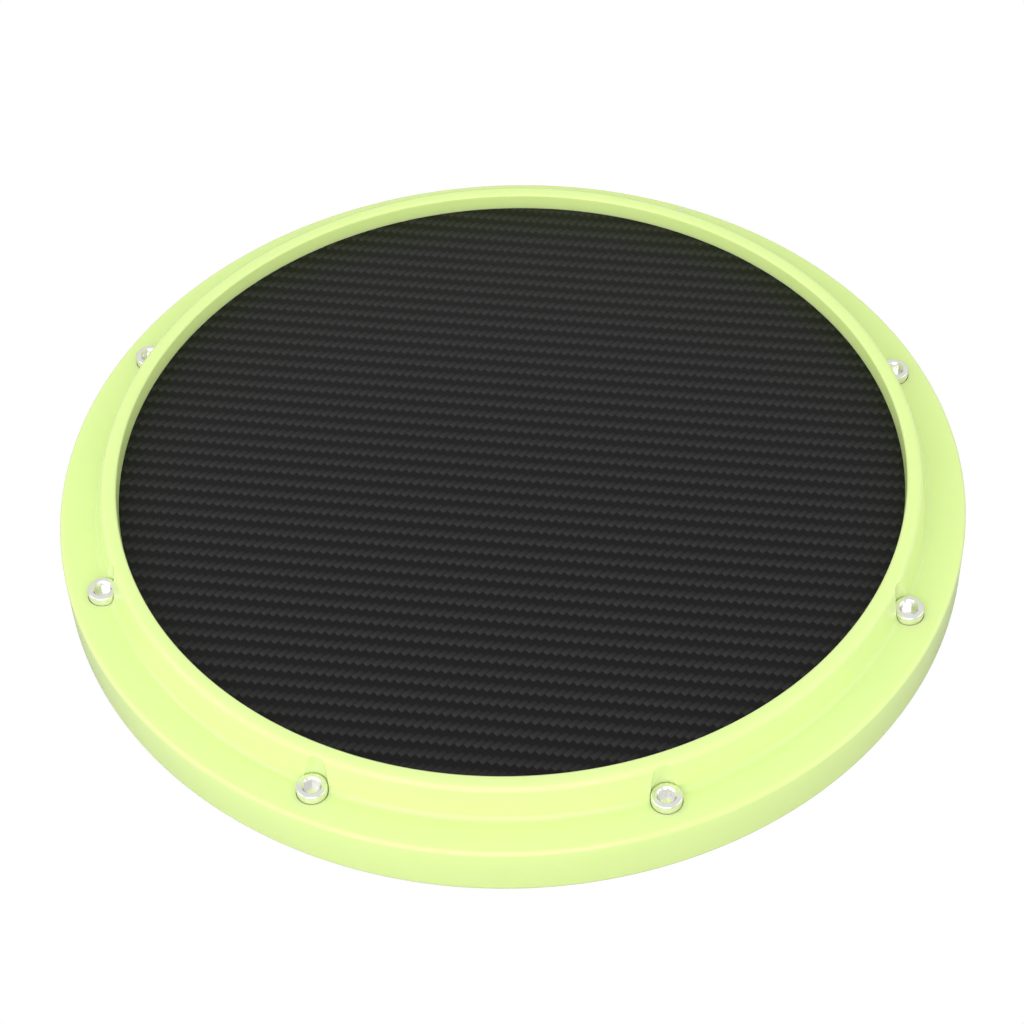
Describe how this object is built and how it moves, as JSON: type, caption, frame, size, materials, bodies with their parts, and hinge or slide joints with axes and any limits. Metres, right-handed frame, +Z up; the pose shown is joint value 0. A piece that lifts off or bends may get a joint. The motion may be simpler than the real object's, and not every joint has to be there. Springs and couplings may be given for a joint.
{
  "type": "drum practice pad",
  "caption": "Round tabletop practice pad: woven-look strike sheet over rubber on a board, clamped by a raised rim ring with cap screws.",
  "frame": {"origin": "centre of the pad on the surface it stands on", "axes": "+Z up, square to the strike sheet; +X and +Y in the plane of the pad, each halfway between two screws"},
  "size_m": [0.305, 0.305, 0.0327],
  "materials": {
    "lime_plastic": "smooth gloss, pale lime",
    "woven_laminate": "satin black 2 by 2 twill weave under clear resin",
    "gum_rubber": "matte tan",
    "birch_ply": "sanded and sealed",
    "mat_rubber": "matte black, fine ribbed grip",
    "nickel_steel": "bright nickel plate",
    "zinc_steel": "zinc plate, slightly dull"
  },
  "bodies": {
    "root": {"rim_ring": "lime_plastic", "strike_sheet": "woven_laminate", "rubber_slab": "gum_rubber", "base_board": "birch_ply", "grip_mat": "mat_rubber", "cap_screw_1": "nickel_steel", "cap_screw_2": "nickel_steel", "cap_screw_3": "nickel_steel", "cap_screw_4": "nickel_steel", "cap_screw_5": "nickel_steel", "cap_screw_6": "nickel_steel", "cap_screw_7": "nickel_steel", "cap_screw_8": "nickel_steel", "threaded_insert_1": "zinc_steel", "threaded_insert_2": "zinc_steel", "threaded_insert_3": "zinc_steel", "threaded_insert_4": "zinc_steel", "threaded_insert_5": "zinc_steel", "threaded_insert_6": "zinc_steel", "threaded_insert_7": "zinc_steel", "threaded_insert_8": "zinc_steel"}
  },
  "joints": []
}
